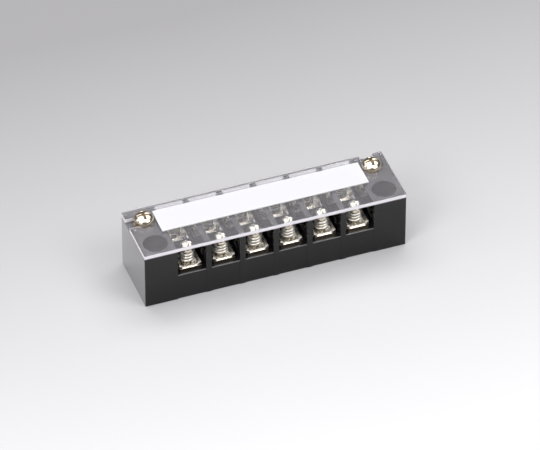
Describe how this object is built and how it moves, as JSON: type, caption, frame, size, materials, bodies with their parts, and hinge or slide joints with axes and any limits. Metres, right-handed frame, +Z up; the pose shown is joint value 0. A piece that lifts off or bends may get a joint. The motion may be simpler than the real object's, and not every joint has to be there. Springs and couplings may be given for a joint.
{
  "type": "screw terminal block",
  "caption": "Barrier screw terminal block with front and rear screw terminals, a clear swing-aside cover, a bare marking strip and base mounting holes.",
  "frame": {"origin": "centre of the footprint, on the underside", "axes": "+X along the row of poles, -Y towards the front row of screws, +Z up through the cover"},
  "size_m": [0.1244, 0.032, 0.0329],
  "materials": {
    "moulded_black": "glossy black moulding",
    "clear_cover": "clear polished plastic sheet",
    "white_strip": "bare white, satin",
    "nickel_screw": "bright nickel plate",
    "nickel_washer": "bright nickel plate",
    "nickel_spring": "plated spring wire",
    "nickel_plate": "nickel plated strip",
    "brass_insert": "turned brass"
  },
  "bodies": {
    "base": {"body": "moulded_black", "insert_left": "brass_insert", "insert_right": "brass_insert", "terminal_plate_1": "nickel_plate", "terminal_plate_2": "nickel_plate", "terminal_plate_3": "nickel_plate", "terminal_plate_4": "nickel_plate", "terminal_plate_5": "nickel_plate", "terminal_plate_6": "nickel_plate", "front_clamp_washer_1": "nickel_washer", "front_clamp_washer_2": "nickel_washer", "front_clamp_washer_3": "nickel_washer", "front_clamp_washer_4": "nickel_washer", "front_clamp_washer_5": "nickel_washer", "front_clamp_washer_6": "nickel_washer", "rear_clamp_washer_1": "nickel_washer", "rear_clamp_washer_2": "nickel_washer", "rear_clamp_washer_3": "nickel_washer", "rear_clamp_washer_4": "nickel_washer", "rear_clamp_washer_5": "nickel_washer", "rear_clamp_washer_6": "nickel_washer"},
    "cover": {"cover": "clear_cover", "marking_strip": "white_strip"},
    "cover_screw_left": {"cover_screw_left": "nickel_screw"},
    "cover_screw_right": {"cover_screw_right": "nickel_screw"},
    "front_lift_1": {"front_lift_spring_1": "nickel_spring"},
    "front_screw_1": {"front_screw_1": "nickel_screw"},
    "front_lift_2": {"front_lift_spring_2": "nickel_spring"},
    "front_screw_2": {"front_screw_2": "nickel_screw"},
    "front_lift_3": {"front_lift_spring_3": "nickel_spring"},
    "front_screw_3": {"front_screw_3": "nickel_screw"},
    "front_lift_4": {"front_lift_spring_4": "nickel_spring"},
    "front_screw_4": {"front_screw_4": "nickel_screw"},
    "front_lift_5": {"front_lift_spring_5": "nickel_spring"},
    "front_screw_5": {"front_screw_5": "nickel_screw"},
    "front_lift_6": {"front_lift_spring_6": "nickel_spring"},
    "front_screw_6": {"front_screw_6": "nickel_screw"},
    "rear_lift_1": {"rear_lift_spring_1": "nickel_spring"},
    "rear_screw_1": {"rear_screw_1": "nickel_screw"},
    "rear_lift_2": {"rear_lift_spring_2": "nickel_spring"},
    "rear_screw_2": {"rear_screw_2": "nickel_screw"},
    "rear_lift_3": {"rear_lift_spring_3": "nickel_spring"},
    "rear_screw_3": {"rear_screw_3": "nickel_screw"},
    "rear_lift_4": {"rear_lift_spring_4": "nickel_spring"},
    "rear_screw_4": {"rear_screw_4": "nickel_screw"},
    "rear_lift_5": {"rear_lift_spring_5": "nickel_spring"},
    "rear_screw_5": {"rear_screw_5": "nickel_screw"},
    "rear_lift_6": {"rear_lift_spring_6": "nickel_spring"},
    "rear_screw_6": {"rear_screw_6": "nickel_screw"}
  },
  "joints": [
    {"name": "cover_swing", "type": "hinge", "parent": "base", "child": "cover", "pos_m": [-0.0544, 0.0078, 0.0277], "axis": [0, 0, 1], "range_deg": [-180, 0]},
    {"name": "cover_screw_left_turn", "type": "hinge", "parent": "base", "child": "cover_screw_left", "pos_m": [-0.0544, 0.0078, 0.0297], "axis": [0, 0, 1], "range_deg": [0, 720]},
    {"name": "cover_screw_right_turn", "type": "hinge", "parent": "base", "child": "cover_screw_right", "pos_m": [0.0544, 0.0078, 0.0297], "axis": [0, 0, 1], "range_deg": [0, 720]},
    {"name": "front_screw_1_rise", "type": "slide", "parent": "base", "child": "front_lift_1", "axis": [0, 0, 1], "range_m": [-0.0024, 0], "deforming": ["front_lift_spring_1"]},
    {"name": "front_screw_1_turn", "type": "hinge", "parent": "front_lift_1", "child": "front_screw_1", "pos_m": [-0.04, -0.0092, 0.0224], "axis": [0, 0, 1], "range_deg": [-1440, 0]},
    {"name": "front_screw_2_rise", "type": "slide", "parent": "base", "child": "front_lift_2", "axis": [0, 0, 1], "range_m": [-0.0024, 0], "deforming": ["front_lift_spring_2"]},
    {"name": "front_screw_2_turn", "type": "hinge", "parent": "front_lift_2", "child": "front_screw_2", "pos_m": [-0.024, -0.0092, 0.0224], "axis": [0, 0, 1], "range_deg": [-1440, 0]},
    {"name": "front_screw_3_rise", "type": "slide", "parent": "base", "child": "front_lift_3", "axis": [0, 0, 1], "range_m": [-0.0024, 0], "deforming": ["front_lift_spring_3"]},
    {"name": "front_screw_3_turn", "type": "hinge", "parent": "front_lift_3", "child": "front_screw_3", "pos_m": [-0.008, -0.0092, 0.0224], "axis": [0, 0, 1], "range_deg": [-1440, 0]},
    {"name": "front_screw_4_rise", "type": "slide", "parent": "base", "child": "front_lift_4", "axis": [0, 0, 1], "range_m": [-0.0024, 0], "deforming": ["front_lift_spring_4"]},
    {"name": "front_screw_4_turn", "type": "hinge", "parent": "front_lift_4", "child": "front_screw_4", "pos_m": [0.008, -0.0092, 0.0224], "axis": [0, 0, 1], "range_deg": [-1440, 0]},
    {"name": "front_screw_5_rise", "type": "slide", "parent": "base", "child": "front_lift_5", "axis": [0, 0, 1], "range_m": [-0.0024, 0], "deforming": ["front_lift_spring_5"]},
    {"name": "front_screw_5_turn", "type": "hinge", "parent": "front_lift_5", "child": "front_screw_5", "pos_m": [0.024, -0.0092, 0.0224], "axis": [0, 0, 1], "range_deg": [-1440, 0]},
    {"name": "front_screw_6_rise", "type": "slide", "parent": "base", "child": "front_lift_6", "axis": [0, 0, 1], "range_m": [-0.0024, 0], "deforming": ["front_lift_spring_6"]},
    {"name": "front_screw_6_turn", "type": "hinge", "parent": "front_lift_6", "child": "front_screw_6", "pos_m": [0.04, -0.0092, 0.0224], "axis": [0, 0, 1], "range_deg": [-1440, 0]},
    {"name": "rear_screw_1_rise", "type": "slide", "parent": "base", "child": "rear_lift_1", "axis": [0, 0, 1], "range_m": [-0.0024, 0], "deforming": ["rear_lift_spring_1"]},
    {"name": "rear_screw_1_turn", "type": "hinge", "parent": "rear_lift_1", "child": "rear_screw_1", "pos_m": [-0.04, 0.0092, 0.0224], "axis": [0, 0, 1], "range_deg": [-1440, 0]},
    {"name": "rear_screw_2_rise", "type": "slide", "parent": "base", "child": "rear_lift_2", "axis": [0, 0, 1], "range_m": [-0.0024, 0], "deforming": ["rear_lift_spring_2"]},
    {"name": "rear_screw_2_turn", "type": "hinge", "parent": "rear_lift_2", "child": "rear_screw_2", "pos_m": [-0.024, 0.0092, 0.0224], "axis": [0, 0, 1], "range_deg": [-1440, 0]},
    {"name": "rear_screw_3_rise", "type": "slide", "parent": "base", "child": "rear_lift_3", "axis": [0, 0, 1], "range_m": [-0.0024, 0], "deforming": ["rear_lift_spring_3"]},
    {"name": "rear_screw_3_turn", "type": "hinge", "parent": "rear_lift_3", "child": "rear_screw_3", "pos_m": [-0.008, 0.0092, 0.0224], "axis": [0, 0, 1], "range_deg": [-1440, 0]},
    {"name": "rear_screw_4_rise", "type": "slide", "parent": "base", "child": "rear_lift_4", "axis": [0, 0, 1], "range_m": [-0.0024, 0], "deforming": ["rear_lift_spring_4"]},
    {"name": "rear_screw_4_turn", "type": "hinge", "parent": "rear_lift_4", "child": "rear_screw_4", "pos_m": [0.008, 0.0092, 0.0224], "axis": [0, 0, 1], "range_deg": [-1440, 0]},
    {"name": "rear_screw_5_rise", "type": "slide", "parent": "base", "child": "rear_lift_5", "axis": [0, 0, 1], "range_m": [-0.0024, 0], "deforming": ["rear_lift_spring_5"]},
    {"name": "rear_screw_5_turn", "type": "hinge", "parent": "rear_lift_5", "child": "rear_screw_5", "pos_m": [0.024, 0.0092, 0.0224], "axis": [0, 0, 1], "range_deg": [-1440, 0]},
    {"name": "rear_screw_6_rise", "type": "slide", "parent": "base", "child": "rear_lift_6", "axis": [0, 0, 1], "range_m": [-0.0024, 0], "deforming": ["rear_lift_spring_6"]},
    {"name": "rear_screw_6_turn", "type": "hinge", "parent": "rear_lift_6", "child": "rear_screw_6", "pos_m": [0.04, 0.0092, 0.0224], "axis": [0, 0, 1], "range_deg": [-1440, 0]}
  ],
  "couplings": [
    {"joint": "front_screw_1_turn", "follows": "front_screw_1_rise", "rad_per_m": 10472},
    {"joint": "front_screw_2_turn", "follows": "front_screw_2_rise", "rad_per_m": 10472},
    {"joint": "front_screw_3_turn", "follows": "front_screw_3_rise", "rad_per_m": 10472},
    {"joint": "front_screw_4_turn", "follows": "front_screw_4_rise", "rad_per_m": 10472},
    {"joint": "front_screw_5_turn", "follows": "front_screw_5_rise", "rad_per_m": 10472},
    {"joint": "front_screw_6_turn", "follows": "front_screw_6_rise", "rad_per_m": 10472},
    {"joint": "rear_screw_1_turn", "follows": "rear_screw_1_rise", "rad_per_m": 10472},
    {"joint": "rear_screw_2_turn", "follows": "rear_screw_2_rise", "rad_per_m": 10472},
    {"joint": "rear_screw_3_turn", "follows": "rear_screw_3_rise", "rad_per_m": 10472},
    {"joint": "rear_screw_4_turn", "follows": "rear_screw_4_rise", "rad_per_m": 10472},
    {"joint": "rear_screw_5_turn", "follows": "rear_screw_5_rise", "rad_per_m": 10472},
    {"joint": "rear_screw_6_turn", "follows": "rear_screw_6_rise", "rad_per_m": 10472}
  ]
}
